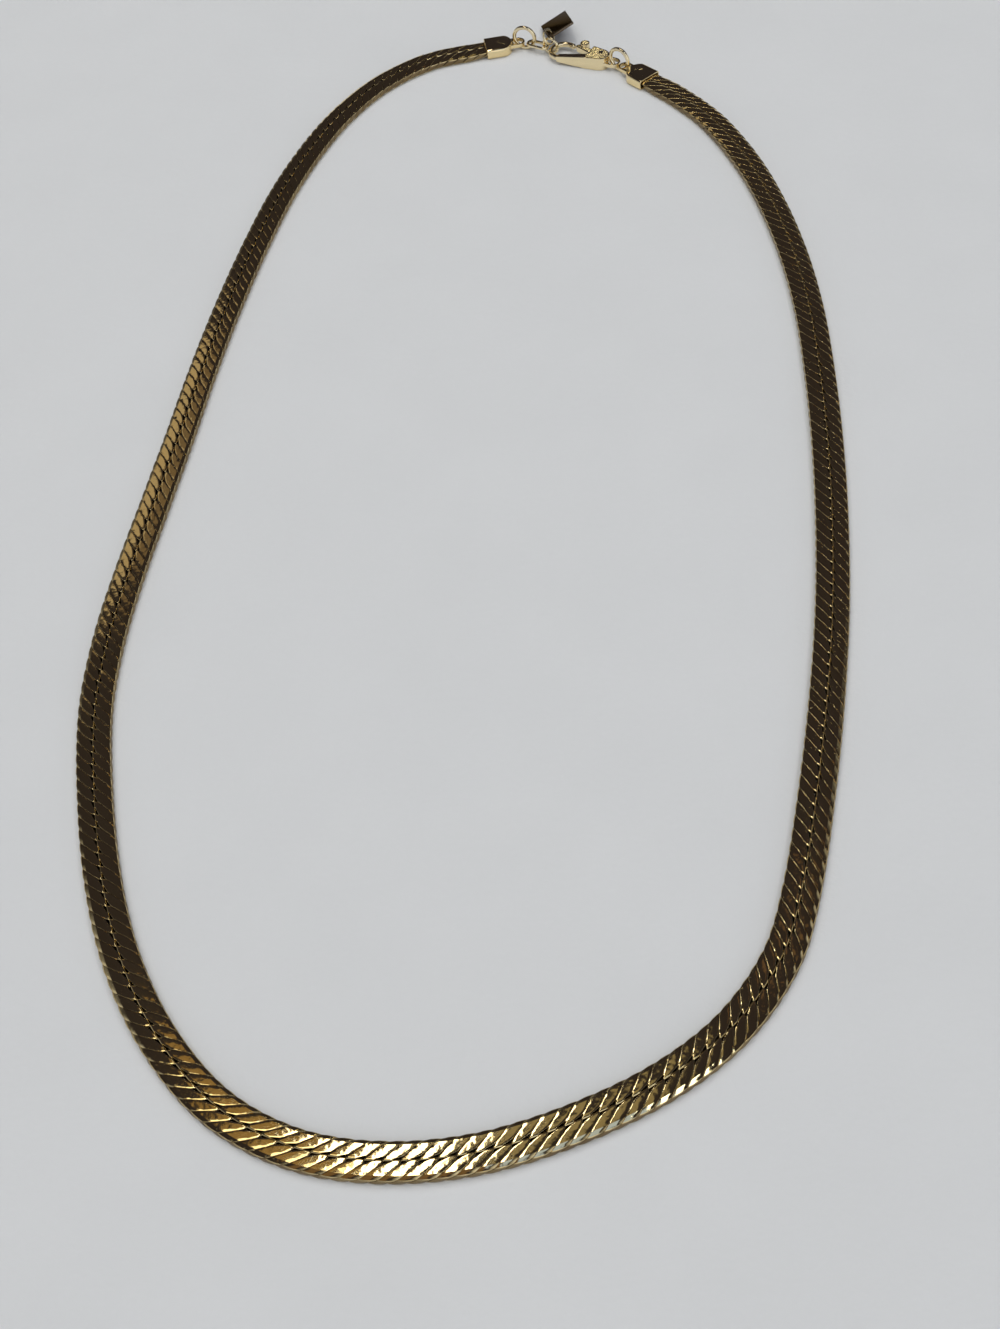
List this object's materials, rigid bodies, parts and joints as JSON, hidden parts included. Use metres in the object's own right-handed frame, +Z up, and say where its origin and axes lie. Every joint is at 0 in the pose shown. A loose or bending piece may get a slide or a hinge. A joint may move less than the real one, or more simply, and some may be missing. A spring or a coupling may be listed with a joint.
{
  "type": "flat chain necklace",
  "caption": "Flat woven gold neck chain lying as a closed loop, with bevelled edges, end caps, jump rings, a claw clasp with a sprung lever and a small bare hang tag.",
  "frame": {"origin": "middle of the lying loop's box, on the surface that it lies on", "axes": "+X to the right as the wearer's front is nearest, +Y away from the front of the loop towards the clasp, +Z up"},
  "size_m": [0.098, 0.1923, 0.0041],
  "materials": {
    "band_gold": "polished gold plate on tightly woven, rolled and diamond-cut wire",
    "cap_gold": "polished pale gold plate on folded and soldered sheet",
    "wire_gold": "polished pale gold plate on round drawn wire",
    "clasp_gold": "polished pale gold plate on a cast and tumbled clasp",
    "tag_gold": "gold plate on stamped sheet, with fine scratches"
  },
  "bodies": {
    "necklace": {"chain_right": "band_gold", "chain_left": "band_gold", "end_cap_right": "cap_gold", "end_cap_left": "cap_gold", "jump_ring_right": "wire_gold", "jump_ring_left": "wire_gold", "oval_link": "wire_gold", "catch_ring": "wire_gold", "clasp_body": "clasp_gold", "tag_ring": "wire_gold", "hang_tag": "tag_gold"},
    "lever": {"clasp_lever": "clasp_gold"}
  },
  "joints": [
    {"name": "lever", "type": "hinge", "parent": "necklace", "child": "lever", "pos_m": [0.02823, 0.08255, 0.001], "axis": [0, 0, 1], "range_deg": [0, 25], "stiffness_Nm_per_rad": 0.004, "springref_deg": -5.73}
  ]
}
